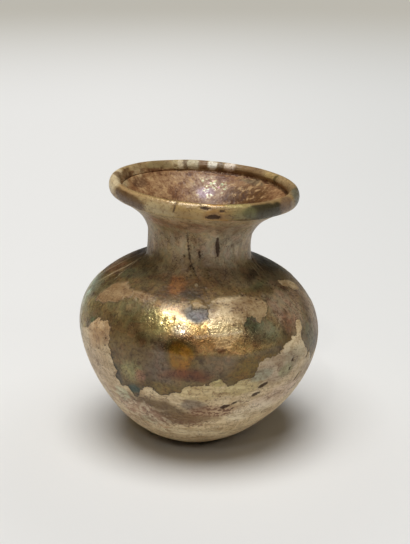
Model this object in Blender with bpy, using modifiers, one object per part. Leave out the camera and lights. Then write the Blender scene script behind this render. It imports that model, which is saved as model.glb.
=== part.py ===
"""A small free-blown glass vase: a ball-shaped body on a tiny flat base, a short neck and a flared mouth
whose rim is folded in and rounded. The vessel is hollow and open, in one piece.

Units are metres, +Z is up, and the origin is the centre of the flat underside. The wall is one turned
profile, bent a little afterwards, because the blown body leans and its mouth is not level.
"""

import math

import bpy

MM = 0.001

# Body: a ball drawn out below its middle ring and pressed flatter above it
BODY_RADIUS = 39.7 * MM  # at the middle ring; the body is a little wider just above it
BELLY_HEIGHT = 36.1 * MM  # from the underside up to the middle ring
SHOULDER_RISE = 29.5 * MM  # from the middle ring up to where the shoulder would close
TAPER = 0.165  # how much narrower than a true oval the body is towards the base

# Base: a small flat spot
BASE_RADIUS = 9.0 * MM
BASE_THICKNESS = 3.0 * MM

# Neck and mouth
NECK_RADIUS = 16.8 * MM
NECK_LENGTH = 7.3 * MM  # from the shoulder's closing height up to where the flare starts
NECK_BLEND = 5.0 * MM  # how far the soft corner between shoulder and neck reaches
FLARE_RISE = 11.0 * MM  # from the flare's start up to the foot of the lip
FLARE_POWER = 1.61  # 1 is a straight cone, more curls outward later
MOUTH_RADIUS = 30.8 * MM  # outside of the lip

# Lip: the folded rim, oval in section
LIP_WIDTH = 3.2 * MM
LIP_HEIGHT = 4.9 * MM

WALL = 2.0 * MM

# What the blowing left out of true
LEAN = math.radians(2.5)  # the body's rings slope down towards +X
LEAN_RISE = 20.0 * MM  # height over which the slope sets in above the flat base
MOUTH_TILT_X = math.radians(1.4)  # further slope of the mouth, down towards +X
MOUTH_TILT_Y = math.radians(0.6)  # the mouth's far side, at +Y, is the higher one
BODY_SHIFT = 1.6 * MM  # how far the middle ring's centre stands off the base's centre, along +X
MOUTH_SHIFT = 1.8 * MM  # how much further the mouth's centre stands off

# Faceting
TURN_STEPS = 60
SAMPLE_STEP = 0.25 * MM
PROFILE_TOLERANCE = 0.12 * MM

# Heights that follow from the sizes above
SHOULDER_TOP = BELLY_HEIGHT + SHOULDER_RISE
FLARE_START = SHOULDER_TOP + NECK_LENGTH
LIP_FOOT = FLARE_START + FLARE_RISE
LIP_CREST = LIP_FOOT + LIP_HEIGHT
LIP_CENTRE = (MOUTH_RADIUS - LIP_WIDTH / 2, LIP_FOOT + LIP_HEIGHT / 2)


def smooth_step(value):
    """0 below 0, 1 above 1, and an S-shaped rise between."""
    value = min(max(value, 0.0), 1.0)
    return value * value * (3 - 2 * value)


def soft_max(first, second, reach):
    """The larger of two lengths, with a rounded change from one to the other."""
    share = min(max(0.5 + 0.5 * (first - second) / reach, 0.0), 1.0)
    return second * (1 - share) + first * share + reach * share * (1 - share)


def oval_radius(share, taper):
    """Radius of a tapered oval, at a share from 0 at its middle ring to 1 where it closes."""
    return BODY_RADIUS * math.sqrt(1 - share * share) * (1 + taper * share)


def belly_depth():
    """Distance from the middle ring down to where the belly would close if it had no flat base."""
    low, high = 0.0, 1.0
    while high - low > 1e-9:
        share = (low + high) / 2
        if oval_radius(share, -TAPER) > BASE_RADIUS:
            low = share
        else:
            high = share
    return BELLY_HEIGHT / low


def belly_radius(height):
    """Outside of the body below its middle ring, ending on the base's edge."""
    return oval_radius((BELLY_HEIGHT - height) / BELLY_DEPTH, -TAPER)


def upper_radius(height):
    """Outside of the shoulder, the neck and the flare, above the middle ring."""
    share = min((height - BELLY_HEIGHT) / SHOULDER_RISE, 1.0)
    shoulder = oval_radius(share, TAPER * SHOULDER_RISE / BELLY_DEPTH)
    spread = max((height - FLARE_START) / FLARE_RISE, 0.0) ** FLARE_POWER
    neck = NECK_RADIUS + (LIP_CENTRE[0] - NECK_RADIUS) * spread
    return soft_max(shoulder, neck, NECK_BLEND)


BELLY_DEPTH = belly_depth()


def heights_between(low, high):
    """Evenly spaced heights from low to high, both included, about SAMPLE_STEP apart."""
    count = max(round((high - low) / SAMPLE_STEP), 1)
    return [low + (high - low) * step / count for step in range(count + 1)]


def outer_wall():
    """The outside as (radius, height) points, from the base's edge up to the foot of the lip."""
    belly = [(belly_radius(height), height) for height in heights_between(0.0, BELLY_HEIGHT)]
    upper = [(upper_radius(height), height) for height in heights_between(BELLY_HEIGHT, LIP_FOOT)]
    return belly + upper[1:]


def crossing(first, second, value_first, value_second):
    """The point between two points where a value that changes sign between them is zero."""
    share = value_first / (value_first - value_second)
    return tuple(a + (b - a) * share for a, b in zip(first, second))


def lip_value(point):
    """Negative inside the lip's oval section, zero on it and positive outside."""
    across = (point[0] - LIP_CENTRE[0]) / (LIP_WIDTH / 2)
    along = (point[1] - LIP_CENTRE[1]) / (LIP_HEIGHT / 2)
    return across * across + along * along - 1


def inner_wall(outer):
    """The inside, one wall thickness in from the outside, from the cavity's floor up to the lip."""
    inner = []
    for before, point, after in zip(outer, outer[1:], outer[2:]):
        along = (after[0] - before[0], after[1] - before[1])
        length = math.hypot(*along)
        inner.append((point[0] - WALL * along[1] / length, point[1] + WALL * along[0] / length))

    floor_values = [point[1] - BASE_THICKNESS for point in inner]
    start = next(index for index, value in enumerate(floor_values) if value > 0)
    if start > 0:
        floor_edge = crossing(inner[start - 1], inner[start], floor_values[start - 1], floor_values[start])
    else:
        floor_edge = (inner[0][0], BASE_THICKNESS)

    lip_values = [lip_value(point) for point in inner]
    meets_lip = [index for index, value in enumerate(lip_values) if value < 0 and index > start]
    if meets_lip:
        end = meets_lip[0]
        lip_edge = crossing(inner[end - 1], inner[end], lip_values[end - 1], lip_values[end])
    else:
        end = len(inner)
        lip_edge = (LIP_CENTRE[0] - LIP_WIDTH / 2, LIP_CENTRE[1])
    return [floor_edge] + inner[start:end] + [lip_edge]


def lip_section(inner_edge):
    """The lip's outline from its foot, round the outside and over the crest, to the inner edge."""
    across = (inner_edge[0] - LIP_CENTRE[0]) / (LIP_WIDTH / 2)
    along = (inner_edge[1] - LIP_CENTRE[1]) / (LIP_HEIGHT / 2)
    first = -math.pi / 2
    last = math.atan2(along, across) % (2 * math.pi)
    count = round((last - first) * LIP_HEIGHT / 2 / SAMPLE_STEP)
    section = []
    for step in range(1, count):
        angle = first + (last - first) * step / count
        radius = LIP_CENTRE[0] + LIP_WIDTH / 2 * math.cos(angle)
        height = LIP_CENTRE[1] + LIP_HEIGHT / 2 * math.sin(angle)
        section.append((radius, height))
    return section


def thinned(points):
    """The fewest of the points whose straight joins stay within PROFILE_TOLERANCE of all of them."""
    first, last = points[0], points[-1]
    along = (last[0] - first[0], last[1] - first[1])
    length = math.hypot(*along)
    across = (-along[1] / length, along[0] / length)
    offsets = [abs((r - first[0]) * across[0] + (z - first[1]) * across[1]) for r, z in points]
    farthest = max(range(len(points)), key=offsets.__getitem__)
    if offsets[farthest] <= PROFILE_TOLERANCE:
        return [first, last]
    return thinned(points[: farthest + 1])[:-1] + thinned(points[farthest:])


def profile():
    """The whole section, from the cavity floor's centre over the lip to the underside's centre."""
    outer = outer_wall()
    inner = inner_wall(outer)
    over_lip = list(reversed([outer[-1]] + lip_section(inner[-1]) + [inner[-1]]))
    outline = thinned(inner)[:-1] + thinned(over_lip)[:-1] + thinned(list(reversed(outer)))
    return [(0.0, BASE_THICKNESS)] + outline + [(0.0, 0.0)]


def turned_mesh(name, points):
    """The closed mesh that the section makes when it is turned once round the Z axis."""
    section = bpy.data.meshes.new(name + " section")
    edges = [(index, index + 1) for index in range(len(points) - 1)]
    section.from_pydata([(radius, 0.0, height) for radius, height in points], edges, [])
    holder = bpy.data.objects.new(name + " section", section)
    bpy.context.scene.collection.objects.link(holder)

    screw = holder.modifiers.new("Turn", "SCREW")
    screw.axis = "Z"
    screw.angle = 2 * math.pi
    screw.steps = TURN_STEPS
    screw.render_steps = TURN_STEPS
    screw.use_merge_vertices = True
    screw.merge_threshold = 0.01 * MM

    graph = bpy.context.evaluated_depsgraph_get()
    mesh = bpy.data.meshes.new_from_object(holder.evaluated_get(graph))
    bpy.data.objects.remove(holder)
    bpy.data.meshes.remove(section)
    return mesh


def bent(point):
    """Where a point of the true turned shape lies on the leaning vase."""
    x, y, z = point
    mouth = smooth_step((z - SHOULDER_TOP + NECK_BLEND) / (LIP_FOOT - SHOULDER_TOP + NECK_BLEND))
    slope_x = math.tan(LEAN) * smooth_step(z / LEAN_RISE) + math.tan(MOUTH_TILT_X) * mouth
    slope_y = math.tan(MOUTH_TILT_Y) * mouth
    shift = BODY_SHIFT * smooth_step(z / BELLY_HEIGHT)
    shift += MOUTH_SHIFT * smooth_step((z - SHOULDER_TOP) / (LIP_CREST - SHOULDER_TOP))
    return (x + shift, y, z - x * slope_x + y * slope_y)


def weathered_glass():
    """Old glass under a crust of tan and gold weathering, which light no longer passes."""
    material = bpy.data.materials.new("Weathered glass")
    material.use_nodes = True
    shader = material.node_tree.nodes["Principled BSDF"]
    shader.inputs["Base Color"].default_value = (0.30, 0.22, 0.13, 1.0)
    shader.inputs["Roughness"].default_value = 0.45
    shader.inputs["Metallic"].default_value = 0.15
    return material


def build_vase(collection):
    mesh = turned_mesh("glass_vase", profile())
    for vertex in mesh.vertices:
        vertex.co = bent(vertex.co)
    mesh.name = "glass_vase"
    mesh.materials.append(weathered_glass())
    mesh.shade_smooth()
    mesh.set_sharp_from_angle(angle=math.radians(50))
    vase = bpy.data.objects.new("glass_vase", mesh)
    collection.objects.link(vase)
    return vase


def main():
    for old in list(bpy.data.objects):
        bpy.data.objects.remove(old, do_unlink=True)
    collection = bpy.data.collections.new("Glass ball vase")
    bpy.context.scene.collection.children.link(collection)
    build_vase(collection)


main()
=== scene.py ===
"""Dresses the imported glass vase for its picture: the weathered skin as a fine mesh with its own node
material, on a pale floor in soft light, seen from the photograph's viewing angle.

Sizes are in millimetres and degrees, and become metres and radians where Blender needs them. A place
on the vase is an azimuth, 0 at the front and growing towards +X, and a distance up the wall: along the
section from the underside's centre, up the outside, over the lip and down the inside.
"""

import math

import bpy
import numpy as np
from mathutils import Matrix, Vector, noise


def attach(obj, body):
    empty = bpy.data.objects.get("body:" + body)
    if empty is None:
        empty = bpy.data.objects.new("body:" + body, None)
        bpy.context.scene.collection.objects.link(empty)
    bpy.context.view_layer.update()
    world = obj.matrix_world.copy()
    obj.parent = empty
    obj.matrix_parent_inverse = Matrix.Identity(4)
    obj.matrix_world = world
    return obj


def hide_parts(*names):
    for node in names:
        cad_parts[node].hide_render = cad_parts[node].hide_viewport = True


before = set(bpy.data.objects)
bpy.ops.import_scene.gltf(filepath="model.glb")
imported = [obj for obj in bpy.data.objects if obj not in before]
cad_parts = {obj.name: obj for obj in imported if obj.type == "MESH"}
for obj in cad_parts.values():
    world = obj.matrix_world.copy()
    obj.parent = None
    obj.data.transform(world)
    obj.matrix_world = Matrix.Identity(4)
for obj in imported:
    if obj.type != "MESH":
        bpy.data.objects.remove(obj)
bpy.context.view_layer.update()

MM = 0.001

# The outline, as in the part's source
BODY_RADIUS = 39.7
BELLY_HEIGHT = 36.1
SHOULDER_RISE = 29.5
TAPER = 0.165
BASE_RADIUS = 9.0
BASE_THICKNESS = 3.0
NECK_RADIUS = 16.8
NECK_LENGTH = 7.3
NECK_BLEND = 5.0
FLARE_RISE = 11.0
FLARE_POWER = 1.61
MOUTH_RADIUS = 30.8
LIP_WIDTH = 3.2
LIP_HEIGHT = 4.9
WALL = 2.0
LEAN = 2.5
LEAN_RISE = 20.0
MOUTH_TILT_X = 1.4
MOUTH_TILT_Y = 0.6
BODY_SHIFT = 1.6
MOUTH_SHIFT = 1.8

SHOULDER_TOP = BELLY_HEIGHT + SHOULDER_RISE
FLARE_START = SHOULDER_TOP + NECK_LENGTH
LIP_FOOT = FLARE_START + FLARE_RISE
LIP_CREST = LIP_FOOT + LIP_HEIGHT
LIP_HALF = (LIP_WIDTH / 2, LIP_HEIGHT / 2)
LIP_CENTRE = (MOUTH_RADIUS - LIP_HALF[0], LIP_FOOT + LIP_HALF[1])

# How fine the mesh is
COLUMNS = 416
SAMPLES = 400
OUTSIDE_STEP = 0.8
LIP_STEP = 0.5
FUNNEL_STEP = 0.9
FUNNEL_DEPTH = 30.0
DEEP_STEP = 4.0
UNDERSIDE_STEP = 2.25

# Relief
CRUST_THICKNESS = 0.14
PIT_DEPTH = 0.35
GROOVE_DEPTH = 0.75
GROOVE_LEAST = 0.25
GROOVE_OFFSET = 0.5
GROOVE_WIDTH = 1.5
FOLD_FILL = 0.9
FOLD_REACH = 3.2
WAVE_HEIGHT = 0.22
WAVE_SIZE = 22.0
EDGE_FADE = 0.8
PIT_FADE = 0.6
UNDERSIDE_FADE = 5.0

# How the corner between neck and shoulder is rounded further
CORNER_START = 80.0
CORNER_END = 116.0
CORNER_EASE = 4.6
CORNER_STEP = 0.2
CORNER_FADE = 8.0

# Sides of the vase: an azimuth, and the degrees from it where something starts to fade and has gone
EASED_FRONT = (0.0, 40.0, 120.0)
SHORT_BACK = (165.0, 24.0, 104.0)
SHORT_LEFT = (-100.0, 16.5, 71.5)
OPEN_FOLD = (142.0, 18.75, 93.75)
FILLED_FOLD = (-108.0, 22.5, 97.5)

# How much sooner than the lip's end its colours stop, everywhere, at the back and at the left, and
# how wide the change of colour is
LIP_COLOUR_SHORT = (0.3, 0.8, 2.0)
COLOUR_FADE = 0.6

# Noise, the size of its blobs, and how far it moves the edges of stains, outlines and marks
NOISE_SHIFT = (17.3, 5.1, 9.7)
NOISE_FALL = 0.9
NOISE_GROWTH = 2.1
RIPPLE_SIZE = 5.0
WARP_SIZE = 3.0
RIPPLE = 0.25
OUTLINE_WARP = 0.7
MARK_WARP = 0.2

# How much a mark narrows towards its ends, a depth far outside every mark, and the least length
MARK_TAPER = 0.55
FAR_OUTSIDE = -9.0
TINY = 1e-9


def smooth(value):
    """0 below 0, 1 above 1, and an S-shaped rise between."""
    value = np.clip(value, 0.0, 1.0)
    return value * value * (3 - 2 * value)


def rising(value, low, high):
    """0 up to low, 1 from high on, and smooth between."""
    return smooth((value - low) / (high - low))


def soft_max(first, second, reach):
    """The larger of two lengths, with a rounded change from one to the other."""
    share = np.clip(0.5 + 0.5 * (first - second) / reach, 0.0, 1.0)
    return second * (1 - share) + first * share + reach * share * (1 - share)


def oval_radius(share, taper):
    """Radius of a tapered oval, at a share from 0 at its middle ring to 1 where it closes."""
    return BODY_RADIUS * np.sqrt(1 - share * share) * (1 + taper * share)


def belly_depth():
    """Distance from the middle ring down to where the belly would close if it had no flat base."""
    low, high = 0.0, 1.0
    while high - low > TINY:
        share = (low + high) / 2
        if oval_radius(share, -TAPER) > BASE_RADIUS:
            low = share
        else:
            high = share
    return BELLY_HEIGHT / low


BELLY_DEPTH = belly_depth()


def outer_wall():
    """The outside as rows of radius and height, from the base's edge up to the foot of the lip."""
    low = np.linspace(0.0, BELLY_HEIGHT, SAMPLES)
    belly = oval_radius((BELLY_HEIGHT - low) / BELLY_DEPTH, -TAPER)
    high = np.linspace(BELLY_HEIGHT, LIP_FOOT, SAMPLES)[1:]
    share = np.minimum((high - BELLY_HEIGHT) / SHOULDER_RISE, 1.0)
    shoulder = oval_radius(share, TAPER * SHOULDER_RISE / BELLY_DEPTH)
    spread = np.maximum((high - FLARE_START) / FLARE_RISE, 0.0) ** FLARE_POWER
    neck = NECK_RADIUS + (LIP_CENTRE[0] - NECK_RADIUS) * spread
    upper = soft_max(shoulder, neck, NECK_BLEND)
    return np.column_stack([np.concatenate([belly, upper]), np.concatenate([low, high])])


def across_normals(points):
    """Unit normals of a section, to the right of its run: outward where it runs up the outside."""
    along = np.gradient(points, axis=0)
    along /= np.linalg.norm(along, axis=1)[:, None]
    return np.column_stack([along[:, 1], -along[:, 0]])


def section():
    """The whole section, and the distances along it of its corners."""
    outer = outer_wall()
    inner = outer - WALL * across_normals(outer)
    from_lip = (inner - LIP_CENTRE) / LIP_HALF
    inner = inner[(inner[:, 1] > BASE_THICKNESS) & ((from_lip ** 2).sum(axis=1) > 1)][::-1]
    meets = (inner[0] - LIP_CENTRE) / LIP_HALF
    last = math.atan2(meets[1], meets[0]) % (2 * math.pi)
    turn = np.linspace(-math.pi / 2, last, SAMPLES)[1:-1]
    lip = np.column_stack([np.cos(turn), np.sin(turn)]) * LIP_HALF + LIP_CENTRE
    points = np.vstack([[[0.0, 0.0]], outer, lip, inner, [[0.0, BASE_THICKNESS]]])
    steps = np.linalg.norm(np.diff(points, axis=0), axis=1)
    along = np.concatenate([[0.0], np.cumsum(steps)])
    corners = np.cumsum([0, 1, len(outer) - 1, len(lip) + 1, len(inner) - 1, 1])
    return points, along, [float(along[index]) for index in corners]


def bent(x, y, z):
    """Where a point of the true turned shape lies on the leaning vase."""
    mouth = smooth((z - SHOULDER_TOP + NECK_BLEND) / (LIP_FOOT - SHOULDER_TOP + NECK_BLEND))
    slope_x = math.tan(math.radians(LEAN)) * smooth(z / LEAN_RISE)
    slope_x = slope_x + math.tan(math.radians(MOUTH_TILT_X)) * mouth
    slope_y = math.tan(math.radians(MOUTH_TILT_Y)) * mouth
    shift = BODY_SHIFT * smooth(z / BELLY_HEIGHT)
    shift = shift + MOUTH_SHIFT * smooth((z - SHOULDER_TOP) / (LIP_CREST - SHOULDER_TOP))
    return x + shift, y, z - x * slope_x + y * slope_y


SECTION, SECTION_ALONG, CORNERS = section()
BASE_EDGE, LIP_START, LIP_END, FLOOR_EDGE, FLOOR_MIDDLE = CORNERS[1:]


def row_places():
    """Distances up the wall of the mesh's rows, without the two middle points at its ends."""
    ends = [0.0, BASE_EDGE, LIP_START, LIP_END, LIP_END + FUNNEL_DEPTH, FLOOR_EDGE, FLOOR_MIDDLE]
    steps = [UNDERSIDE_STEP, OUTSIDE_STEP, LIP_STEP, FUNNEL_STEP, DEEP_STEP, DEEP_STEP]
    places = []
    for low, high, step in zip(ends, ends[1:], steps):
        count = math.ceil((high - low) / step)
        places.extend(np.linspace(low, high, count + 1)[1:])
    return np.array(places[:-1])


def eased_corner(up, values):
    """What rounding the corner between neck and shoulder changes in the section's values."""
    places = np.arange(CORNER_START - 3 * CORNER_EASE, CORNER_END + 3 * CORNER_EASE, CORNER_STEP)
    reach = np.arange(-3 * CORNER_EASE, 3 * CORNER_EASE + CORNER_STEP / 2, CORNER_STEP)
    weights = np.exp(-0.5 * (reach / CORNER_EASE) ** 2)
    before = np.interp(places, SECTION_ALONG, values)
    after = np.convolve(before, weights / weights.sum(), "same")
    inside = np.minimum(places - CORNER_START, CORNER_END - places)
    change = (after - before) * smooth(inside / CORNER_FADE)
    return np.interp(up, places, change, left=0.0, right=0.0)


class Skin:
    """The vase's surface points as flat arrays, row by row: where each is on the true turned shape."""

    def __init__(self):
        self.rows = row_places()
        self.azimuth = np.tile(np.arange(COLUMNS) * 360.0 / COLUMNS, len(self.rows))
        self.up = np.repeat(self.rows, COLUMNS)
        front = self.side(*EASED_FRONT)
        wider, higher = (eased_corner(self.up, SECTION[:, part]) * front for part in (0, 1))
        self.radius = np.interp(self.up, SECTION_ALONG, SECTION[:, 0]) + wider
        self.height = np.interp(self.up, SECTION_ALONG, SECTION[:, 1]) + higher
        normals = across_normals(SECTION)
        self.normal = [np.interp(self.up, SECTION_ALONG, normals[:, part]) for part in (0, 1)]
        places = np.column_stack(self.placed(np.zeros(len(self.up))))
        self.points = [Vector(place) for place in places]

    def placed(self, relief):
        """Coordinates of the points, each raised by its relief off the smooth wall."""
        radius = self.radius + self.normal[0] * relief
        height = self.height + self.normal[1] * relief
        turn = np.radians(self.azimuth)
        return bent(radius * np.sin(turn), -radius * np.cos(turn), height)

    def wobble(self, size, octaves, seed):
        """Smooth noise of about -1 to 1 over the surface, with blobs of that size."""
        shift = Vector(NOISE_SHIFT) * seed
        places = [point / size + shift for point in self.points]
        return np.array([noise.fractal(place, NOISE_FALL, NOISE_GROWTH, octaves) for place in places])

    def beside(self, azimuth):
        """Degrees from that azimuth to each point, the short way round."""
        return (self.azimuth - azimuth + 180.0) % 360.0 - 180.0

    def side(self, azimuth, near, far):
        """1 within near degrees of an azimuth, 0 past far degrees, and smooth between."""
        return smooth((far - np.abs(self.beside(azimuth))) / (far - near))


# Outlines of the crust, as (azimuth, distance up the wall); the first one runs once round the vase
BELOW_ALL = -40.0
RING_MIDDLE = 105.0
LIP_CRUST_INSET = 0.2
CRUST_EDGE = [
    (-75, 63.5), (-64, 65.5), (-61, 68), (-56, 70.5), (-50, 71), (-45.5, 70), (-44.5, 65), (-44, 62),
    (-42, 59), (-41, 56), (-43, 53.5), (-41, 50.5), (-36, 51), (-33.5, 48.5), (-32, 47), (-29.5, 49),
    (-27, 52.5), (-23, 53), (-18.5, 51), (-15.5, 50.5), (-12, 52), (-8.5, 53), (-6, 55.5), (0.5, 56),
    (5, 56.5), (9, 59), (12, 56), (14.5, 55), (18, 57.5), (24, 58), (26.5, 59), (28, 63.5),
    (34, 64), (40.5, 65), (42, 66.5), (47.5, 68), (52, 68.5), (55.5, 72.5), (59, 72), (57.5, 69.5),
    (55.5, 67), (58, 63.5), (67, 57), (75, 59), (84, 66), (92, 72), (101, 70), (110, 62), (118, 58),
    (128, 64), (138, 76), (147, 82), (156, 78), (163, 70), (172, 66), (183, 62), (192, 55), (203, 52),
    (214, 58), (222, 66), (232, 70), (243, 74), (252, 70), (262, 66), (274, 61),
]
CRUST_PATCHES = {
    "tan left": [
        (-67, 75), (-66, 79), (-63, 83), (-55, 86), (-48, 84), (-44, 84), (-34, 84.5), (-27, 83.5),
        (-26, 81.5), (-34, 81), (-42, 81.5), (-45, 80.5), (-50, 77.5), (-62, 75),
    ],
    "cream": [
        (6, 82), (8, 84), (12, 85), (20, 86), (30, 85.4), (39, 84), (42, 82), (41, 79.5), (38, 77),
        (32, 75), (30, 77), (25, 78), (24, 76), (22, 73), (18, 71), (14, 68.5), (8, 69), (5, 73),
    ],
    "crescent": [(-5, 83), (-2, 84.3), (2, 84), (5.5, 82), (5.5, 80.3), (2, 81), (-4, 81.2)],
    "beige streak": [
        (66, 85.5), (69, 86.5), (78, 85), (84, 82), (86, 80), (82, 78.5), (75, 81), (69, 83.5),
    ],
    "left edge": [
        (-108, 58), (-78, 60), (-74.5, 64), (-76, 69), (-81, 73), (-88, 77), (-98, 80), (-110, 72),
    ],
    "back high": [(150, 92), (165, 96), (182, 95), (196, 90), (204, 84), (190, 80), (172, 83), (158, 86)],
    "back left": [(206, 70), (216, 75), (230, 77), (238, 84), (231, 88), (218, 86), (208, 80)],
    "back right": [(104, 82), (116, 88), (130, 90), (139, 87), (133, 81), (118, 77), (108, 78)],
}


def paint(red, green, blue):
    """A display colour of 0 to 255 as the linear one that nodes take."""
    shares = np.array([red, green, blue]) / 255
    return np.where(shares < 0.04045, shares / 12.92, ((shares + 0.055) / 1.055) ** 2.4)


# Stains, each laid over the ones before: colour, azimuth, distance up the wall, half width, half height,
# softness of the edge, strength and, where there is one, tilt
FILM = paint(132, 112, 76)
FILM_STAINS = [
    ((200, 180, 149), 0, 112, 95, 16, 0.6, 0.85),
    ((164, 132, 88), 14, 93, 15, 6, 0.8, 0.45),
    ((194, 184, 172), 28, 106, 8, 10, 0.8, 0.6),
    ((158, 134, 96), -58, 106, 8, 12, 0.8, 0.6),
    ((182, 162, 118), -40, 108, 6, 8, 0.8, 0.5),
    ((176, 156, 128), -8, 104, 3, 8, 0.8, 0.4),
    ((178, 142, 114), -26, 116, 13, 3.2, 0.35, 0.75, 4),
    ((182, 154, 132), 4, 115, 6, 2.8, 0.35, 0.65),
    ((184, 150, 104), -12, 80.5, 9, 2.6, 0.7, 0.6),
    ((126, 92, 56), -19, 85, 6, 2.2, 0.8, 0.5),
    # Painted highlight: the bright gold flare and its near-white peak where the lamps shine on the
    # shoulder, over a partly golden film
    ((250, 220, 160), -8, 74, 13, 5, 0.8, 0.85),
    ((255, 250, 236), -8, 73.5, 3, 2, 0.8, 0.8),
    ((228, 218, 156), -22, 75, 5, 4, 0.8, 0.6),
    ((255, 214, 152), 12, 70.5, 15, 4.6, 0.8, 0.9),
    ((140, 130, 92), -38, 77, 9, 4, 0.6, 0.5),
    ((144, 132, 98), -50, 78, 12, 4, 0.6, 0.6),
    # Pale blue-green at the left edge: partly the film's colour, partly a painted reflection of the bright
    # floor at the grazing edge
    ((210, 232, 222), -86, 69, 10, 10, 0.8, 0.9),
    ((176, 156, 104), -71, 70.5, 5, 4.5, 0.8, 0.7),
    ((206, 186, 132), -74, 65, 5.5, 3.6, 0.6, 0.85),
    ((112, 136, 92), -60, 68.6, 2.2, 1.4, 0.8, 0.6),
    ((136, 124, 90), -73, 79, 7, 4, 0.7, 0.6),
    ((166, 130, 98), -89, 86.5, 7, 3.5, 0.7, 0.8, 10),
    ((104, 108, 88), -60, 90, 6, 3, 0.7, 0.6, 20),
    ((132, 116, 84), -62, 94, 8, 3, 0.5, 0.6),
    ((130, 112, 100), -17, 62, 6, 7.5, 0.8, 0.8, 10),
    ((134, 108, 72), -33, 65, 9, 6, 0.6, 0.6),
    ((112, 90, 46), -7.5, 66, 5.2, 6.2, 0.4, 0.75),
    ((164, 118, 38), -7.5, 65.8, 3.6, 4.8, 0.3, 0.9),
    ((128, 70, 34), -5, 59.6, 7.5, 2, 1, 0.8, 6),
    ((110, 62, 34), 1, 58.6, 3, 1.4, 0.8, 0.7),
    ((174, 168, 122), -32, 57.5, 4.2, 4, 0.7, 0.8),
    ((196, 154, 120), -27, 57, 1.7, 1.9, 0.5, 0.8),
    ((176, 130, 112), -27.5, 56, 2.2, 2.6, 0.6, 0.6),
    ((62, 94, 86), -32.5, 50.5, 3, 1.6, 0.5, 0.9, 20),
    ((60, 62, 50), -41, 54, 1.4, 4, 0.5, 0.7),
    ((136, 112, 56), -19, 53.4, 7.5, 2.4, 0.7, 0.8),
    ((128, 100, 26), 26, 60.5, 10, 5.5, 0.5, 0.85),
    ((130, 110, 92), 9, 63.5, 6, 4, 0.7, 0.7),
    ((164, 166, 142), 31, 72.5, 8, 3.6, 1, 0.7, -8),
    ((118, 132, 108), 27, 75.5, 2.5, 3, 0.5, 0.6, 30),
    ((178, 158, 138), 54, 77, 9, 7, 0.7, 0.8),
    ((164, 116, 92), 50, 73, 3.5, 3, 0.7, 0.4),
    ((128, 128, 104), 66, 66, 4, 4, 0.5, 0.6),
    ((164, 150, 128), 60, 91, 17, 5, 0.6, 0.6, -8),
    ((100, 86, 66), 88, 93, 7, 3.5, 0.6, 0.7),
    ((84, 70, 56), 50, 92.5, 5, 1.4, 0.6, 0.6, 20),
    ((112, 118, 78), 47, 88, 6, 1.4, 0.8, 0.5, 10),
    ((184, 122, 68), -16, 90, 2.8, 4, 0.7, 0.75),
    ((96, 82, 64), -5, 86.5, 3.4, 2, 0.4, 0.7),
    ((92, 84, 74), 0.5, 79.5, 5, 3.4, 0.6, 0.85),
    ((112, 112, 120), -1, 78, 3.4, 1.9, 0.8, 0.8),
    ((190, 168, 146), 84, 72, 10, 11, 0.7, 0.85),
    ((120, 72, 50), 10, 68, 2.2, 1.1, 0.5, 0.8),
    ((176, 126, 88), 10, 68, 1, 0.5, 0.5, 0.7),
    ((146, 126, 110), 150, 100, 12, 9, 0.6, 0.6),
    ((168, 142, 90), 185, 74, 16, 6, 0.6, 0.7),
    ((118, 120, 90), 215, 86, 9, 6, 0.5, 0.7),
    ((170, 122, 62), 205, 78, 4, 4, 0.3, 0.7),
    ((134, 108, 84), 250, 94, 11, 5, 0.6, 0.7),
    ((110, 112, 88), 108, 90, 10, 6, 0.5, 0.7),
    ((152, 124, 82), 92, 79, 6, 4, 0.5, 0.7),
]
CRUST = paint(229, 211, 179)
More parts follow.
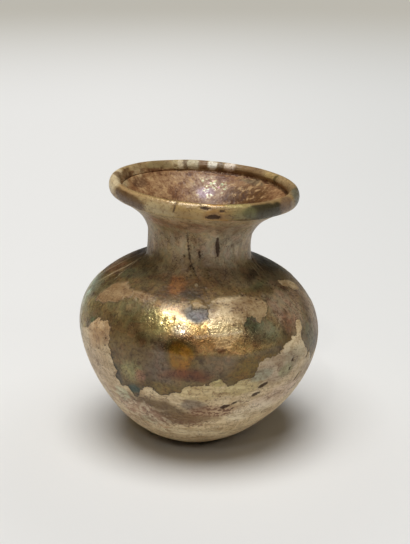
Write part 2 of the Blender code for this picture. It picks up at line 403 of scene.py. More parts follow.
CRUST_STAINS = [
    ((162, 134, 100), -50, 80, 24, 7, 0.5, 0.9),
    # Pale blue-green at the left edge: partly the crust's colour, partly a painted reflection of the
    # bright floor at the grazing edge
    ((202, 214, 206), -88, 68, 12, 12, 0.4, 0.95),
    ((204, 176, 144), -56, 54, 9, 9, 0.8, 0.5),
    # Partly the cream crust, partly painted highlight: the crust made brighter and golden where the flare
    # crosses it
    ((222, 202, 166), 12, 76, 9, 9, 0.6, 0.9),
    ((250, 230, 184), 12, 74, 9, 2.4, 0.7, 0.8),
    ((255, 218, 166), 14, 70, 9, 2.4, 0.7, 0.8),
    ((162, 138, 104), 32, 80, 8, 6, 0.6, 0.9),
    ((142, 120, 82), 0, 82, 6, 2.5, 0.4, 0.9),
    ((196, 170, 124), -3, 82.8, 2.6, 1.5, 0.5, 0.8),
    ((220, 210, 196), -80, 62, 4, 8, 0.8, 0.6),
    ((208, 186, 150), 78, 82, 9, 4, 0.4, 0.8),
    ((226, 208, 158), 2, 53, 9, 3.2, 0.4, 0.6),
    ((200, 188, 124), 9, 57.5, 2.4, 2, 0.4, 0.7),
    ((214, 200, 148), 21, 55, 7, 3, 0.4, 0.7, 12),
    ((138, 126, 114), -3, 47.5, 4.5, 2.6, 0.4, 0.8),
    ((128, 103, 60), -20, 43.5, 12, 4.5, 0.6, 0.95, -12),
    ((126, 94, 52), -9, 40, 12, 3, 0.6, 0.8, 8),
    ((178, 142, 112), 8, 45, 8, 2.6, 0.5, 0.6),
    ((206, 176, 158), -34, 40, 9, 5, 0.6, 0.6, -10),
    ((206, 216, 190), -42, 46, 3, 3, 0.5, 0.6),
    ((212, 218, 196), -30, 36, 3, 2, 0.5, 0.6),
    ((178, 160, 148), 38, 60, 9, 5, 0.6, 0.6),
    ((162, 162, 144), 30, 58.5, 4, 2.4, 0.4, 0.8, 10),
    ((166, 166, 124), 44, 58, 3, 2.2, 0.4, 0.7, 10),
    ((164, 160, 136), 50, 62, 6, 3, 0.6, 0.4),
    ((208, 172, 130), -57, 67, 5, 6, 0.6, 0.7),
    ((170, 132, 94), -46, 68, 3, 4, 0.6, 0.6),
    ((176, 158, 134), 66, 55, 7, 6, 0.6, 0.5),
    ((214, 190, 178), 44, 48, 12, 4, 0.8, 0.6, 8),
    ((228, 218, 192), 0, 31, 12, 3, 0.8, 0.5),
    ((240, 232, 214), 30, 43, 8, 4, 0.6, 0.5, 10),
]
LIP = paint(176, 152, 112)
LIP_STAINS = [
    ((236, 220, 188), -86, 129, 13, 3.4, 0.5, 0.85),
    ((100, 74, 46), -52, 127.2, 8.5, 2.2, 0.35, 0.9, -8),
    ((204, 170, 126), -50, 130.2, 9, 1.2, 0.4, 0.8),
    ((194, 178, 142), -25, 126.3, 5.5, 2.4, 0.35, 0.8),
    ((174, 146, 94), -8, 127.2, 6, 2.4, 0.5, 0.75),
    ((166, 124, 64), 8, 126.5, 5, 2.2, 0.5, 0.65),
    ((150, 130, 84), 18, 127, 3.5, 2.2, 0.4, 0.6),
    ((60, 57, 36), 38, 126.8, 8, 3.2, 0.25, 0.95),
    ((128, 126, 84), 24, 126.5, 4, 2.4, 0.8, 0.6),
    ((188, 164, 126), 40, 130.6, 9, 0.7, 0.4, 0.8),
    ((96, 78, 40), 24, 124.6, 4, 0.8, 0.4, 0.8),
    ((140, 118, 100), 58, 127.8, 4, 2.6, 0.35, 0.85),
    ((110, 110, 98), 80, 127.6, 8, 3, 0.4, 0.9),
    # Painted highlight along the front of the lip's crest, over the crest's own cream and gold tones
    ((208, 178, 126), -12, 130.2, 24, 0.9, 0.8, 0.7),
    ((228, 206, 160), -1, 130, 1.6, 0.7, 0.5, 0.8),
    ((216, 168, 100), 8, 130.2, 3.4, 0.8, 0.5, 0.8),
    ((204, 192, 134), 20, 129.8, 4, 0.9, 0.5, 0.8),
    ((126, 100, 72), -107, 132.2, 4, 1, 0.25, 0.8, 12),
    ((206, 186, 148), -123, 132, 3.2, 1.4, 0.25, 0.9),
    ((126, 98, 70), -94, 131.2, 3, 1.4, 0.3, 0.8),
    ((150, 126, 90), -128, 132, 4, 1.8, 0.3, 0.6),
    ((146, 132, 96), -145, 132, 5, 2, 0.3, 0.7),
    ((196, 180, 142), -158.5, 132, 1.3, 2, 0.2, 0.8),
    ((222, 208, 180), -163, 132, 1.1, 2, 0.2, 0.9),
    ((124, 104, 80), -167, 132, 1.3, 2, 0.2, 0.8),
    ((212, 204, 178), -172, 132, 2.4, 2, 0.2, 0.95),
    ((128, 96, 66), -179, 132, 1.8, 2, 0.2, 0.8),
    ((255, 254, 246), 174, 132, 1.8, 2, 0.2, 0.98),
    ((130, 112, 92), 168.5, 132, 1.3, 2, 0.2, 0.8),
    ((255, 246, 240), 162, 132, 2.1, 2, 0.2, 0.98),
    ((150, 122, 88), 146, 132.2, 6, 2, 0.25, 0.8),
    ((204, 182, 132), 127, 132.4, 2.4, 2, 0.25, 0.85),
    ((112, 100, 62), 120, 132.5, 1.2, 2, 0.25, 0.8),
    ((188, 162, 122), 108, 132.3, 5, 2, 0.25, 0.8),
    ((170, 148, 116), 92, 131.6, 4, 2, 0.3, 0.7),
]
FUNNEL = paint(156, 120, 86)
FUNNEL_STAINS = [
    ((200, 178, 142), -123, 134, 3.2, 1.6, 0.25, 0.9),
    ((196, 180, 144), -99, 135.2, 3.4, 1.7, 0.3, 0.9),
    ((124, 98, 70), -109, 133.6, 3.6, 1.8, 0.3, 0.85, 14),
    ((110, 84, 64), -119, 138, 4, 2, 0.5, 0.7),
    ((120, 112, 90), 140, 136, 5, 1.6, 0.5, 0.7),
    ((178, 146, 112), -150, 142, 9, 5, 0.8, 0.5),
    ((180, 150, 128), 172, 141, 7, 4.5, 0.8, 0.6),
    # Partly a violet iridescent tint, partly a painted glint in the mouth
    ((196, 172, 204), 177, 144, 3, 2.2, 0.8, 0.7),
    ((98, 66, 30), 130, 143, 9, 6, 0.8, 0.9),
]


def stain_share(skin, ripple, azimuth, up, half_width, half_height, edge, strength, tilt=0):
    """Its strength in the middle of a stain, 0 outside it, with an uneven edge."""
    across = np.radians(skin.beside(azimuth)) * skin.radius
    rise = skin.up - up
    turn = math.radians(tilt)
    first = (across * math.cos(turn) + rise * math.sin(turn)) / half_width
    second = (rise * math.cos(turn) - across * math.sin(turn)) / half_height
    distance = np.hypot(first, second) + ripple * RIPPLE
    return strength * smooth((1 + edge / 2 - distance) / edge)


def stained(skin, ripple, colours, stains):
    """The points' colours with the stains laid over them one by one."""
    for colour, *spot in stains:
        share = stain_share(skin, ripple, *spot)[:, None]
        colours = colours * (1 - share) + paint(*colour) * share
    return colours


def warped(skin, warp, middle):
    """Azimuth, counted on from a middle one, and distance up the wall, both moved by the warp."""
    turn = warp[0] / np.maximum(skin.radius, 1.0) * math.degrees(1.0)
    return skin.beside(middle) + middle + turn, skin.up + warp[1]


def from_segment(azimuth, up, scale, first, second):
    """Millimetres from each point to a segment, and how far along it the nearest place is."""
    across = (azimuth - first[0]) * scale
    rise = up - first[1]
    side_across = (second[0] - first[0]) * scale
    side_rise = second[1] - first[1]
    length = np.maximum(side_across ** 2 + side_rise ** 2, TINY)
    share = np.clip((across * side_across + rise * side_rise) / length, 0, 1)
    return np.hypot(across - share * side_across, rise - share * side_rise), share


def outline_depth(skin, warp, outline, middle):
    """Millimetres inside an outline, negative outside it; warp moves the points it is tried at."""
    azimuth, up = warped(skin, warp, middle)
    scale = np.radians(skin.radius)
    nearest = np.full(len(up), np.inf)
    inside = np.zeros(len(up), bool)
    for first, second in zip(outline, outline[1:] + outline[:1]):
        gap, _ = from_segment(azimuth, up, scale, first, second)
        nearest = np.minimum(nearest, gap)
        if first[1] != second[1]:
            crossed = (up < first[1]) != (up < second[1])
            where = first[0] + (up - first[1]) * (second[0] - first[0]) / (second[1] - first[1])
            inside ^= crossed & (azimuth < where)
    return np.where(inside, nearest, -nearest)


def ring_outline(line):
    """A closed outline below a line that runs once round, with a spare stretch past each end."""
    before = [(azimuth - 360, up) for azimuth, up in line]
    after = [(azimuth + 360, up) for azimuth, up in line]
    whole = before + line + after
    return whole + [(whole[-1][0], BELOW_ALL), (whole[0][0], BELOW_ALL)]


def mouth_edge(skin):
    """Distance up the wall where the lip's colours end inside the mouth, sooner at back and left."""
    everywhere, back, left = LIP_COLOUR_SHORT
    return LIP_END - everywhere - back * skin.side(*SHORT_BACK) - left * skin.side(*SHORT_LEFT)


def in_mouth(skin):
    """0 on the outside and the lip, 1 inside the mouth."""
    return smooth((skin.up - mouth_edge(skin)) / COLOUR_FADE)


def zoned(skin, outside, lip, inside):
    """One of three colours by stretch of the wall: outside, lip or inside."""
    on_lip = smooth((skin.up - LIP_START) / COLOUR_FADE)[:, None]
    inner = in_mouth(skin)[:, None]
    return (outside * (1 - on_lip) + lip * on_lip) * (1 - inner) + inside * inner


def crust_depth(skin, warp):
    """Millimetres inside the crust, negative where it has flaked off."""
    depth = outline_depth(skin, warp, ring_outline(CRUST_EDGE), RING_MIDDLE)
    for outline in CRUST_PATCHES.values():
        middle = sum(azimuth for azimuth, _ in outline) / len(outline)
        depth = np.maximum(depth, outline_depth(skin, warp, outline, middle))
    lip = np.minimum(skin.up - LIP_START, LIP_END - skin.up) - LIP_CRUST_INSET
    return np.maximum(depth, lip)


# Pits, cracks and holes, and two lines of painted shade in the crease at the neck's foot: width, then the
# points of the line
PIT_MARKS_AND_CREASE_SHADE = [
    (1.8, (29.2, 53.6), (33.8, 55)),
    (1.7, (26.5, 50.6), (30.6, 51.7)),
    (1, (-18.3, 76), (-17.5, 76)),
    (0.9, (-13.5, 76.6), (-13, 76.4)),
    (1.9, (11.5, 46.2), (16, 47.3)),
    (1.3, (16.6, 47.7), (20.5, 48.9)),
    (1.1, (17.5, 45.6), (18.5, 45.8)),
    (1.3, (54, 51.5), (56.5, 54.5)),
    (1.1, (47, 60.5), (48.5, 61.6)),
    (1.2, (46.2, 57.8), (47, 58.6)),
    (1.2, (60, 59), (62, 61)),
    (0.9, (-48, 63), (-47, 63.5)),
    (0.7, (-12.5, 112), (-12.5, 107.5), (-11, 104), (-9.5, 101), (-6, 98), (-2.5, 95), (1, 93)),
    (1.6, (16.5, 109.6), (19, 105.8), (21, 102)),
    (1.2, (-16.5, 102.4), (-15.5, 101.6)),
    (1.1, (-9.5, 99), (-8, 98)),
    (0.9, (0, 104.5), (1, 101.5)),
    (1, (9, 95.3), (10, 95)),
    (0.9, (4, 88.5), (6, 88.5)),
    (2, (1.5, 125.8), (9, 126)),
    (1.2, (8.5, 128), (11.5, 128)),
    (1.2, (15, 124.6), (20.5, 123.9)),
    (1.1, (19, 119.4), (20, 119)),
    (1.3, (-2.5, 128.8), (3, 128.7)),
    (0.7, (-16.5, 130.2), (-17, 127.8), (-18, 126)),
    (0.7, (50, 93), (56, 88.5), (64, 84.5), (69, 81), (73, 77)),
    (0.9, (25.5, 78), (29, 76.2), (32, 75)),
    (0.8, (9, 83.4), (14, 82.7), (18, 82.6)),
    (1.2, (28.5, 85.8), (29.7, 85.8)),
    (1.1, (42.5, 84), (43.5, 84)),
    (0.9, (36.5, 83.2), (37.5, 83.2)),
    (0.7, (-78, 94), (-72, 88), (-78, 82.5)),
    # Painted shade: the dark crease where the neck meets the shoulder, at the left and at the right
    (1.1, (-96, 99), (-84, 98.2), (-75, 96)),
    (1.1, (74, 97.5), (84, 98.6), (96, 99)),
    (1.1, (-53.5, 61.2), (-52.5, 61.2)),
    (1, (-47.8, 65.3), (-47, 65.7)),
]
SCRATCHES = [
    (0.7, (-80, 97), (-76, 89), (-80, 79)),
    (0.7, (-94, 95.5), (-89, 86), (-92, 76)),
    (0.6, (-77, 96), (-74, 91.5), (-70, 87), (-68, 84)),
    (0.6, (80, 97), (74, 95.5), (71, 93), (68, 91)),
    (0.5, (70, 97), (68, 95.5), (65, 93)),
    (0.5, (62, 97), (61, 94), (58, 91)),
    (2.4, (-2.2, 90.8), (-1.8, 90.8)),
]


def line_depth(skin, warp, width, line):
    """Millimetres inside a mark along a line, negative outside; it is narrower towards its ends."""
    azimuth, up = warped(skin, warp, line[0][0])
    scale = np.radians(skin.radius)
    depth = np.full(len(up), FAR_OUTSIDE)
    steps = len(line) - 1
    for index, (first, second) in enumerate(zip(line, line[1:])):
        gap, share = from_segment(azimuth, up, scale, first, second)
        from_middle = np.abs(2 * (index + share) / steps - 1)
        depth = np.maximum(depth, width / 2 * (1 - MARK_TAPER * from_middle ** 2) - gap)
    return depth


def mark_depth(skin, warp, marks):
    """Millimetres inside the marks of a list, negative outside."""
    depth = np.full(len(skin.up), FAR_OUTSIDE)
    for width, *line in marks:
        depth = np.maximum(depth, line_depth(skin, warp, width, line))
    return depth


def groove(skin):
    """Relief where the turned-in rim meets the funnel: an open fold, deepest at the back right, that
    is filled in at the left."""
    filled = skin.side(*FILLED_FOLD)
    depth = GROOVE_DEPTH * (GROOVE_LEAST + (1 - GROOVE_LEAST) * skin.side(*OPEN_FOLD)) * (1 - filled)
    away = np.abs(skin.up - mouth_edge(skin) - GROOVE_OFFSET)
    filling = FOLD_FILL * filled * smooth(1 - np.abs(skin.up - LIP_END) / FOLD_REACH)
    return filling - depth * smooth(1 - away / GROOVE_WIDTH)


def vase_mesh(skin, relief):
    points = np.column_stack(skin.placed(relief)) * MM
    rows = len(skin.rows)
    base = np.array([[0.0, 0.0, 0.0]])
    floor = np.array([bent(0.0, 0.0, BASE_THICKNESS)]) * MM
    base_index = rows * COLUMNS
    floor_index = base_index + 1
    grid = np.arange(rows * COLUMNS).reshape(rows, COLUMNS)
    beside = np.roll(grid, -1, axis=1)
    quads = np.stack([grid[:-1], beside[:-1], beside[1:], grid[1:]], axis=-1).reshape(-1, 4).tolist()
    under = [(base_index, b, a) for a, b in zip(grid[0].tolist(), beside[0].tolist())]
    inside = [(floor_index, a, b) for a, b in zip(grid[-1].tolist(), beside[-1].tolist())]
    mesh = bpy.data.meshes.new("vase_skin")
    mesh.from_pydata(np.vstack([points, base, floor]).tolist(), [], quads + under + inside)
    mesh.validate()
    mesh.shade_smooth()
    return mesh


def with_middles(values):
    """Values of the points, and of the middle points of underside and floor after them."""
    return np.concatenate([values, values[:1], values[-1:]]).astype(np.float32)


def keep_values(mesh, name, values):
    """Stores one number per point under a name that the material reads."""
    layer = mesh.attributes.new(name, "FLOAT", "POINT")
    layer.data.foreach_set("value", with_middles(values))


def keep_colours(mesh, name, colours):
    """Stores one colour per point under a name that the material reads."""
    layer = mesh.attributes.new(name, "FLOAT_COLOR", "POINT")
    opaque = np.column_stack([colours, np.ones(len(colours))])
    layer.data.foreach_set("color", with_middles(opaque).ravel())


def add_object(name, data):
    thing = bpy.data.objects.new(name, data)
    bpy.context.scene.collection.objects.link(thing)
    return thing


# Hues that an iridescent layer runs through: soft ones, and the bright ones of a painted glint
PEARL = [
    (120, 100, 140), (150, 120, 90), (190, 160, 90), (120, 150, 100),
    (100, 130, 130), (160, 130, 100), (190, 130, 110), (130, 110, 130),
]
PEARL_PAINTED_GLINT = [(190, 170, 235), (250, 245, 240), (180, 230, 190), (250, 240, 200), (235, 180, 220)]

# The film's thin layers: from which value of the flakes' noise on, and how bright
FILM_LAYERS = [(0.0, 0.36), (0.42, 0.5), (0.47, 0.4), (0.53, 0.62), (0.6, 0.45), (0.66, 0.7)]

# How metallic and how rough the surface is, and what the flare, sparks, specks and pits add to that
BARE_METAL = 0.12
FLARE_METAL = 0.58
SPARK_METAL = 0.3
ROUGHNESS = (0.36, 0.5)
COAT_ROUGHNESS = 0.11
FLARE_ROUGH = -0.2
SPARK_ROUGH = -0.14
SPECK_ROUGH = 0.2
PIT_ROUGH = 0.4


class Nodes:
    """Short calls that add nodes to one material and return their output sockets."""

    def __init__(self, name):
        self.material = bpy.data.materials.new(name)
        self.material.use_nodes = True
        self.tree = self.material.node_tree
        self.shader = self.tree.nodes["Principled BSDF"]

    def fill(self, socket, value):
        if isinstance(value, bpy.types.NodeSocket):
            self.tree.links.new(value, socket)
        elif socket.type == "RGBA":
            socket.default_value = (*value, 1.0)
        else:
            socket.default_value = value

    def with_surface(self, surface):
        """The material, with these inputs of its shader filled."""
        for name, value in surface.items():
            self.fill(self.shader.inputs[name], value)
        return self.material

    def add(self, kind, *values):
        """A new node of a kind, with its first inputs filled."""
        node = self.tree.nodes.new("ShaderNode" + kind)
        for socket, value in zip(node.inputs, values):
            self.fill(socket, value)
        return node

    def attribute(self, name, output="Fac"):
        node = self.add("Attribute")
        node.attribute_name = name
        return node.outputs[output]

    def place(self):
        return self.add("TexCoord").outputs["Object"]

    def math(self, operation, first, second=0.0):
        node = self.add("Math", first, second)
        node.operation = operation
        return node.outputs[0]

    def product(self, first, *others):
        for other in others:
            first = self.math("MULTIPLY", first, other)
        return first

    def added(self, value, *changes):
        """The value with changes, each as large as it is where its share is 1."""
        for share, change in changes:
            value = self.math("ADD", value, self.product(share, change))
        return value

    def rest(self, share):
        """What a share leaves of 1."""
        return self.math("SUBTRACT", 1.0, share)

    def vector(self, operation, first, second, output="Vector"):
        node = self.add("VectorMath", first, second)
        node.operation = operation
        return node.outputs[output]

    def parted(self, vector):
        """The three parts of a vector, by name."""
        return self.add("SeparateXYZ", vector).outputs

    def grain(self, vector, size, detail, roughness):
        """Noise of 0 to 1 with blobs of that many millimetres."""
        node = self.add("TexNoise", vector)
        node.inputs["Scale"].default_value = 1 / (size * MM)
        node.inputs["Detail"].default_value = detail
        node.inputs["Roughness"].default_value = roughness
        return node.outputs["Fac"]

    def span(self, value, low, high, start=0.0, end=1.0):
        """The value from low to high as start to end, smoothly, and held beyond."""
        node = self.add("MapRange", value, low, high, start, end)
        node.interpolation_type = "SMOOTHSTEP"
        return node.outputs["Result"]

    def moved(self, value, noise, reach):
        """The value moved up or down by a noise, by the reach at most."""
        return self.math("ADD", value, self.span(noise, 0.3, 0.7, -reach, reach))

    def lines(self, noise, level, wide, narrow):
        """1 along thin lines where a noise is at a level."""
        gap = self.math("ABSOLUTE", self.math("SUBTRACT", noise, level))
        return self.span(gap, wide, narrow)

    def mix(self, share, first, second, blend="MIX"):
        node = self.add("Mix")
        node.data_type = "RGBA"
        node.blend_type = blend
        self.fill(node.inputs["Factor"], share)
        self.fill(node.inputs[6], first)
        self.fill(node.inputs[7], second)
        return node.outputs[2]

    def lay(self, colour, noise, low, high, most, tint, where=1.0, blend="MIX"):
        """The colour with a tint laid over it where a noise runs from low to high."""
        share = self.product(self.span(noise, low, high, 0.0, most), where)
        return self.mix(share, colour, paint(*tint), blend)

    def shade(self, colour, noise, low, high, most, tint, where=1.0):
        """The colour darkened by a tint where a noise runs from low to high."""
        return self.lay(colour, noise, low, high, most, tint, where, "MULTIPLY")

    def ramp(self, value, stops, interpolation):
        """A colour for each value, from stops that are each a place and a colour."""
        node = self.add("ValToRGB", value)
        elements = node.color_ramp.elements
        node.color_ramp.interpolation = interpolation
        while len(elements) < len(stops):
            elements.new(0.5)
        for element, (place, colour) in zip(elements, stops):
            element.position = place
            element.color = (*colour, 1.0)
        return node.outputs[0]

    def steps(self, value, levels):
        """Grey steps: from each place on, the brightness beside it."""
        return self.ramp(value, [(place, (grey,) * 3) for place, grey in levels], "CONSTANT")

    def pearl(self, value, hues):
        """The run of hues of an iridescent layer, along a noise."""
        places = np.linspace(0.3, 0.7, len(hues))
        return self.ramp(value, [(place, paint(*hue)) for place, hue in zip(places, hues)], "LINEAR")

    def bump(self, height, depth, normal=None):
        """Bump of that many millimetres, over an earlier normal if there is one."""
        node = self.add("Bump")
        node.inputs["Strength"].default_value = 1.0
        node.inputs["Distance"].default_value = depth * MM
        self.fill(node.inputs["Height"], height)
        if normal is not None:
            self.fill(node.inputs["Normal"], normal)
        return node.outputs["Normal"]


class SkinNodes(Nodes):
    """The whole skin: noises that the layers share, then a method for each layer."""

    def __init__(self):
        super().__init__("weathered_glass_skin")
        self.spot = self.place()
        self.coarse = self.grain(self.spot, 2.6, 3.0, 0.55)
        self.fine = self.grain(self.spot, 0.9, 2.0, 0.5)
        self.blotch = self.grain(self.spot, 7.0, 4.0, 0.6)
        self.flakes = self.grain(self.shifted(0.3, 0.1, 0.2), 5.5, 5.0, 0.55)
        self.clump = self.grain(self.shifted(0.7, 0.4, 0.9), 4.0, 3.0, 0.6)
        self.drawn = self.drawn_out(0.14)
        self.streak = self.grain(self.drawn, 0.7, 4.0, 0.6)

        self.funnel, self.neck, self.gloss = map(self.attribute, ("funnel", "neck", "gloss"))
        self.off_lip = self.rest(self.product(self.attribute("lip"), 0.8))
        self.pit = self.span(self.moved(self.attribute("pit_and_crease_shade_depth"), self.fine, 0.12), -0.15, 0.3)
        self.speck = self.specks()
        self.spark = self.sparks()
        self.crust_share, self.edge_dirt_and_shade_line = self.crust_edge()

    def shifted(self, *shift):
        """The place moved, for a noise that has nothing to do with the others."""
        return self.vector("ADD", self.spot, shift)

    def drawn_out(self, share):
        """The place with a share of its way round the axis, so that noises run along the turning."""
        parts = self.parted(self.spot)
        across, away = (self.product(parts[name], share) for name in "XY")
        return self.add("CombineXYZ", across, away, self.attribute("up_wall")).outputs[0]

    def specks(self):
        """Dark dust, in clumps."""
        dust = self.grain(self.spot, 0.5, 1.0, 0.5)
        return self.product(self.span(dust, 0.62, 0.7), self.span(self.clump, 0.46, 0.6))

    def sparks(self):
        """Grains of the glint in the mouth, glossier and more metallic; their bright colours are a painted
        glint.
        """
        grains = self.product(self.span(self.coarse, 0.51, 0.44), self.span(self.fine, 0.52, 0.46))
        return self.product(self.attribute("glint"), 0.62, grains)

    def crust_edge(self):
        """How much crust lies at each place, with a ragged edge, and the dark line along that edge: partly
        dirt, partly painted shade under the crust's raised step.
        """
        depth = self.moved(self.attribute("crust_depth"), self.coarse, 0.35)
        depth = self.moved(depth, self.fine, 0.22)
        spread = self.product(self.attribute("soft_edge"), 0.8)
        share = self.span(depth, self.math("SUBTRACT", -0.08, spread), self.math("ADD", 0.12, spread))
        line = self.product(self.span(depth, -0.55, -0.08), self.span(depth, 0.2, -0.02))
        line = self.product(line, self.span(self.clump, 0.38, 0.58, 0.3, 1.0), self.rest(self.gloss))
        return share, self.product(line, self.attribute("lined"))

    def film(self):
        """The iridescent film in thin layers, with dark lines where one ends, and streaks on the neck."""
        colour = self.attribute("film_colour", "Color")
        colour = self.mix(0.45, colour, self.steps(self.flakes, FILM_LAYERS), "OVERLAY")
        hue = self.pearl(self.grain(self.shifted(0.2, 0.8, 0.5), 5.0, 3.0, 0.6), PEARL)
        colour = self.mix(0.2, colour, hue, "OVERLAY")
        mottled = self.rest(self.product(self.math("MAXIMUM", self.neck, self.gloss), 0.5))
        colour = self.shade(colour, self.blotch, 0.42, 0.66, 0.45, (150, 118, 86))
        colour = self.shade(colour, self.coarse, 0.52, 0.7, 0.5, (130, 100, 74), mottled)
        colour = self.shade(colour, self.fine, 0.54, 0.68, 0.5, (130, 98, 70), mottled)
        for level, _ in FILM_LAYERS[1:]:
            line = self.product(self.lines(self.flakes, level, 0.007, 0.001), mottled)
            colour = self.lay(colour, self.clump, 0.42, 0.6, 0.6, (70, 50, 32), line)
        upright = self.grain(self.vector("MULTIPLY", self.spot, (1.0, 1.0, 0.1)), 2.4, 3.0, 0.6)
        colour = self.shade(colour, upright, 0.5, 0.62, 0.35, (168, 142, 114), self.neck)
        return self.lay(colour, upright, 0.46, 0.36, 0.25, (200, 184, 164), self.neck)

    def crust(self):
        """The crust, with fine streaks along the turning, red-brown pits and thin dark lines."""
        band = self.grain(self.drawn, 2.6, 3.0, 0.6)
        patchy = self.product(self.span(self.blotch, 0.56, 0.42, 0.15, 1.0), self.off_lip)
        colour = self.attribute("crust_colour", "Color")
        colour = self.shade(colour, band, 0.42, 0.62, 0.5, (206, 192, 172), self.off_lip)
        colour = self.shade(colour, self.streak, 0.5, 0.66, 0.55, (190, 172, 148), patchy)
        colour = self.shade(colour, self.blotch, 0.45, 0.62, 0.55, (216, 200, 176))
        colour = self.shade(colour, self.coarse, 0.54, 0.64, 0.45, (190, 168, 140))
        colour = self.shade(colour, self.fine, 0.56, 0.68, 0.45, (176, 150, 120))
        red = self.attribute("red_pits")
        colour = self.lay(colour, self.fine, 0.47, 0.54, 1.0, (118, 78, 52), red)
        line = self.lines(band, 0.5, 0.012, 0.002)
        return self.lay(colour, self.clump, 0.48, 0.62, 0.6, (92, 66, 48), line)

    def mouth(self):
        """The mouth's inside, mottled, with its glint painted in bright pale hues."""
        colour = self.attribute("film_colour", "Color")
        colour = self.shade(colour, self.coarse, 0.5, 0.64, 0.6, (178, 150, 130))
        colour = self.lay(colour, self.coarse, 0.46, 0.36, 0.7, (196, 164, 124))
        colour = self.shade(colour, self.blotch, 0.5, 0.6, 0.6, (186, 150, 128))
        colour = self.shade(colour, self.fine, 0.52, 0.66, 0.5, (166, 132, 110))
        colour = self.lay(colour, self.fine, 0.4, 0.3, 0.35, (206, 178, 142))
        return self.mix(self.spark, colour, self.pearl(self.grain(self.spot, 2.0, 1.0, 0.5), PEARL_PAINTED_GLINT))

    def curled(self, colour):
        """The colour with fine curled lines, and with flakes and gaps between them where it is curly."""
        curls = self.grain(self.shifted(0.5, 0.6, 0.1), 1.9, 2.0, 0.5)
        curly = self.attribute("curly")
        colour = self.lay(colour, curls, 0.53, 0.6, 0.5, (216, 204, 180), curly)
        colour = self.shade(colour, curls, 0.45, 0.38, 0.6, (190, 140, 116), curly)
        line = self.product(self.lines(curls, 0.5, 0.03, 0.004), self.off_lip)
        line = self.product(line, self.span(self.clump, 0.42, 0.58, 0.1, 0.55))
        line = self.product(line, self.math("ADD", 1.0, curly))
        return self.mix(line, colour, paint(140, 104, 80), "MULTIPLY")

    def colour(self):
        """Film, crust and mouth together, then what lies on them: scratches, dust, and pits, which also
        carry the painted crease shade at the neck's foot.
        """
        colour = self.curled(self.mix(self.crust_share, self.film(), self.crust()))
        # Dark line along the crust's edge: partly dirt, partly painted shade under the step
        colour = self.mix(self.edge_dirt_and_shade_line, colour, paint(48, 36, 26))
        colour = self.mix(self.funnel, colour, self.mouth())
        scratch = self.moved(self.attribute("scratch"), self.fine, 0.1)
        colour = self.mix(self.span(scratch, -0.2, 0.2, 0.0, 0.7), colour, paint(196, 180, 150))
        colour = self.mix(self.product(self.speck, 0.8), colour, paint(70, 46, 30))
        colour = self.mix(1.0, colour, paint(255, 250, 236), "MULTIPLY")
        # Pits darkened; at the neck's foot this darkening is painted crease shade
        return self.mix(self.product(self.pit, 0.92), colour, paint(60, 38, 20))

    def bumps(self):
        normal = self.bump(self.crust_share, 0.1)
        normal = self.bump(self.flakes, 0.35, normal)
        normal = self.bump(self.fine, 0.13, normal)
        return self.bump(self.product(self.streak, self.crust_share), 0.2, normal)

    def finished(self):
        """The whole skin's material."""
        gloss = self.product(self.gloss, self.rest(self.pit))
        covered = self.math("MAXIMUM", self.crust_share, self.math("MAXIMUM", self.pit, self.funnel))
        metal = self.product(self.rest(covered), BARE_METAL)
        metal = self.added(metal, (gloss, FLARE_METAL), (self.spark, SPARK_METAL))
        rough = self.span(self.fine, 0.3, 0.7, *ROUGHNESS)
        rough = self.added(rough, (gloss, FLARE_ROUGH), (self.spark, SPARK_ROUGH))
        rough = self.added(rough, (self.speck, SPECK_ROUGH), (self.pit, PIT_ROUGH))
        return self.with_surface({
            "Base Color": self.colour(),
            "Metallic": metal,
            "Roughness": rough,
            "Normal": self.bumps(),
            "Coat Weight": gloss,
            "Coat Roughness": COAT_ROUGHNESS,
        })


# Spots of the skin with something of their own, each as a stain without its colour
SPOTS = {
    "curly": [(-38, 38, 15, 9, 0.7, 1.0, -12)],
    "lined": [(-39, 55, 9, 10, 0.6, 1.0), (-13, 51, 7, 3, 0.6, 0.9)],
    "soft_edge": [
        (-46, 81.5, 22, 5, 0.6, 0.9), (16, 85, 16, 4, 0.6, 1.0), (10, 70, 10, 4, 0.6, 1.0),
        (-78, 70, 6, 10, 0.6, 1.0),
    ],
    "glint": [(173, 141.5, 5.2, 4.4, 0.8, 1.0)],
    "red_pits": [(8, 44.5, 7.5, 2.4, 0.5, 0.9, 4), (-6, 37.5, 8, 2.5, 0.5, 0.6, 6)],
    "flare": [(-10, 73, 17, 7, 1.0, 1.0), (17, 71, 15, 7, 1.0, 1.0, -6)],
    "dull in flare": [(0, 80, 5.5, 4, 0.5, 1.0)],
    "lip crest": [(-10, 130.2, 26, 1.1, 1.0, 0.6)],
}
LINED_LEAST = 0.25

# Stretches up the wall: from and to, and over how far each fades in and out
NECK_STRETCH = (94.0, LIP_START - 1, 8.0, 6.0)
LIP_STRETCH = (LIP_START, LIP_END + 1, 0.8, 0.8)


def spot_share(skin, ripple, name):
    """The strongest share that the spots of a name have at each point."""
    return np.max([stain_share(skin, ripple, *spot) for spot in SPOTS[name]], axis=0)


def keep_spots(mesh, skin, ripple):
    for name in ("curly", "soft_edge", "glint", "red_pits"):
        keep_values(mesh, name, spot_share(skin, ripple, name))
    lined = LINED_LEAST + (1 - LINED_LEAST) * spot_share(skin, ripple, "lined")
    keep_values(mesh, "lined", lined)
    flare = spot_share(skin, ripple, "flare") * (1 - spot_share(skin, ripple, "dull in flare"))
    keep_values(mesh, "gloss", np.maximum(flare, spot_share(skin, ripple, "lip crest")))


def stretch(skin, low, high, fade_in, fade_out):
    return rising(skin.up, low, low + fade_in) * (1 - rising(skin.up, high - fade_out, high))


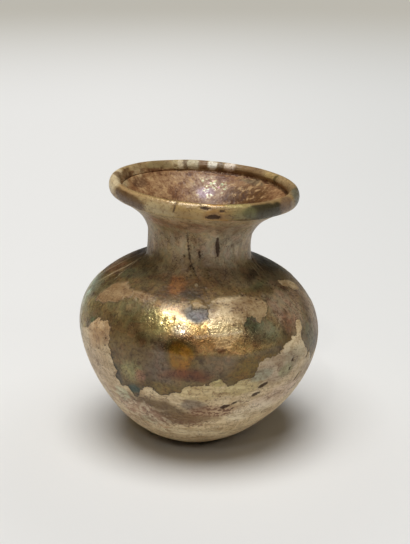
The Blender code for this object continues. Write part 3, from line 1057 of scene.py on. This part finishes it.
def keep_places(mesh, skin):
    """Stores where on the vase each point is."""
    keep_values(mesh, "neck", stretch(skin, *NECK_STRETCH))
    keep_values(mesh, "lip", stretch(skin, *LIP_STRETCH))
    keep_values(mesh, "funnel", in_mouth(skin))
    keep_values(mesh, "up_wall", skin.up * MM)


def keep_grounds(mesh, skin, ripple):
    """Stores the colours of the film and of the crust."""
    film = stained(skin, ripple, zoned(skin, FILM, FILM, FUNNEL), FILM_STAINS + FUNNEL_STAINS)
    keep_colours(mesh, "film_colour", film)
    crust = stained(skin, ripple, zoned(skin, CRUST, LIP, LIP), CRUST_STAINS + LIP_STAINS)
    keep_colours(mesh, "crust_colour", crust)


def build_vase():
    skin = Skin()
    ripple = skin.wobble(RIPPLE_SIZE, octaves=4, seed=1)
    warp = np.array([skin.wobble(WARP_SIZE, octaves=3, seed=seed) for seed in (2, 3)]) * OUTLINE_WARP
    crust = crust_depth(skin, warp)
    pits = mark_depth(skin, warp * MARK_WARP, PIT_MARKS_AND_CREASE_SHADE)
    raised = CRUST_THICKNESS * smooth(crust / EDGE_FADE + 0.5)
    raised = raised + WAVE_HEIGHT * skin.wobble(WAVE_SIZE, octaves=2, seed=4)
    raised = raised - PIT_DEPTH * smooth(pits / PIT_FADE + 0.5)
    relief = raised * smooth((skin.up - BASE_EDGE) / UNDERSIDE_FADE) + groove(skin)

    mesh = vase_mesh(skin, relief)
    keep_values(mesh, "crust_depth", crust)
    keep_values(mesh, "pit_and_crease_shade_depth", pits)
    keep_values(mesh, "scratch", mark_depth(skin, warp * MARK_WARP, SCRATCHES))
    keep_spots(mesh, skin, ripple)
    keep_places(mesh, skin)
    keep_grounds(mesh, skin, ripple)
    mesh.materials.append(SkinNodes().finished())
    vase = add_object("vase_skin", mesh)
    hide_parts("glass_vase")
    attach(vase, "root")


# The photograph's view
CAMERA_PLACE = (3.59, -360.0, 174.0)
CAMERA_PITCH = 17.911
FOCAL_PIXELS = 1133.6
PHOTO_WIDTH = 410
PHOTO_HEIGHT = 544
SENSOR = 36.0
CLIP_START = 0.01


def add_camera():
    data = bpy.data.cameras.new("view")
    data.sensor_width = SENSOR
    data.lens = SENSOR * FOCAL_PIXELS / max(PHOTO_WIDTH, PHOTO_HEIGHT)
    data.clip_start = CLIP_START
    camera = add_object("view", data)
    camera.location = Vector(CAMERA_PLACE) * MM
    camera.rotation_euler = (math.radians(90 - CAMERA_PITCH), 0, 0)
    bpy.context.scene.camera = camera


# Sizes and distances of the lights are in metres
LIGHT_DISTANCE = 3.0
SKY_COLOUR = (0.95, 0.97, 1.0, 1.0)
SKY_STRENGTH = 0.012
WHITE = (1.0, 1.0, 1.0)
WARM = (1.0, 0.96, 0.88)


def hang_light(data, azimuth, elevation):
    """Adds a light that faces the vase, seen from it at that azimuth and elevation."""
    light = add_object(data.name, data)
    turn, rise = math.radians(azimuth), math.radians(elevation)
    flat = math.cos(rise)
    towards = Vector((math.sin(turn) * flat, -math.cos(turn) * flat, math.sin(rise)))
    light.location = towards * LIGHT_DISTANCE + Vector((0, 0, BELLY_HEIGHT * MM))
    light.rotation_euler = towards.to_track_quat("Z", "Y").to_euler()


def add_panel(name, azimuth, elevation, width, height, power, colour=WHITE):
    """A soft light with a flat face of that size."""
    data = bpy.data.lights.new(name, "AREA")
    data.shape = "RECTANGLE"
    data.size = width
    data.size_y = height
    data.energy = power
    data.color = colour
    hang_light(data, azimuth, elevation)


def add_ceiling(azimuth, elevation, spread, strength):
    """Even light from a wide patch overhead, so that the floor is as bright far away as near."""
    data = bpy.data.lights.new("ceiling", "SUN")
    data.energy = strength
    data.angle = math.radians(spread)
    hang_light(data, azimuth, elevation)


# The floor, in metres: its half width, how far under the vase it lies, and where the painted light and
# shade on its paper change
FLOOR_HALF = 6.0
FLOOR_DROP = 0.0001
PAPER_MIDDLE = (0.0, -0.03, 0.0)
PAINTED_LIGHT_LEFT_TO_RIGHT = (-0.1, 0.3)
PAINTED_SHADE_NEAR_TO_CLEAR = (0.05, 0.11)
PAINTED_FALLOFF_NEAR_TO_FAR = (0.65, 1.8)
# Painted light and shade on the paper: darker near the vase, lighter to the left, darker and warmer far
# away
PAPER_PAINTED_SHADE_NEAR = paint(229, 228, 225)
PAPER_PAINTED_LIGHT_LEFT = paint(242, 241, 238)
PAPER_PAINTED_LIGHT_RIGHT = paint(226, 226, 223)
PAPER_PAINTED_FALLOFF_FAR = paint(198, 194, 183)
PAPER_ROUGHNESS = 0.9


def paper_with_painted_light():
    paper = Nodes("paper")
    place = paper.place()
    away = paper.vector("DISTANCE", place, PAPER_MIDDLE, "Value")
    # Painted light and shade: lighter to the left, darker near the vase, darker and warmer far away
    right = paper.span(paper.parted(place)["X"], *PAINTED_LIGHT_LEFT_TO_RIGHT)
    colour = paper.mix(right, PAPER_PAINTED_LIGHT_LEFT, PAPER_PAINTED_LIGHT_RIGHT)
    colour = paper.mix(paper.span(away, *PAINTED_SHADE_NEAR_TO_CLEAR), PAPER_PAINTED_SHADE_NEAR, colour)
    colour = paper.mix(paper.span(away, *PAINTED_FALLOFF_NEAR_TO_FAR), colour, PAPER_PAINTED_FALLOFF_FAR)
    return paper.with_surface({"Base Color": colour, "Roughness": PAPER_ROUGHNESS})


def add_floor():
    mesh = bpy.data.meshes.new("floor")
    sides = [(-1, -1), (1, -1), (1, 1), (-1, 1)]
    corners = [(x * FLOOR_HALF, y * FLOOR_HALF, -FLOOR_DROP) for x, y in sides]
    mesh.from_pydata(corners, [], [(0, 1, 2, 3)])
    mesh.materials.append(paper_with_painted_light())
    floor = add_object("floor", mesh)


def add_studio():
    add_floor()
    world = bpy.data.worlds.new("studio")
    world.use_nodes = True
    sky = world.node_tree.nodes["Background"]
    sky.inputs["Color"].default_value = SKY_COLOUR
    sky.inputs["Strength"].default_value = SKY_STRENGTH
    bpy.context.scene.world = world
    add_panel("lamp", azimuth=-14, elevation=42, width=0.12, height=0.12, power=3.9)
    add_panel("window", azimuth=26, elevation=37, width=2.6, height=0.28, power=4.5, colour=WARM)
    add_ceiling(azimuth=-18, elevation=79, spread=41, strength=2.86)
    bpy.context.scene.view_settings.view_transform = "Standard"


build_vase()
add_camera()
add_studio()
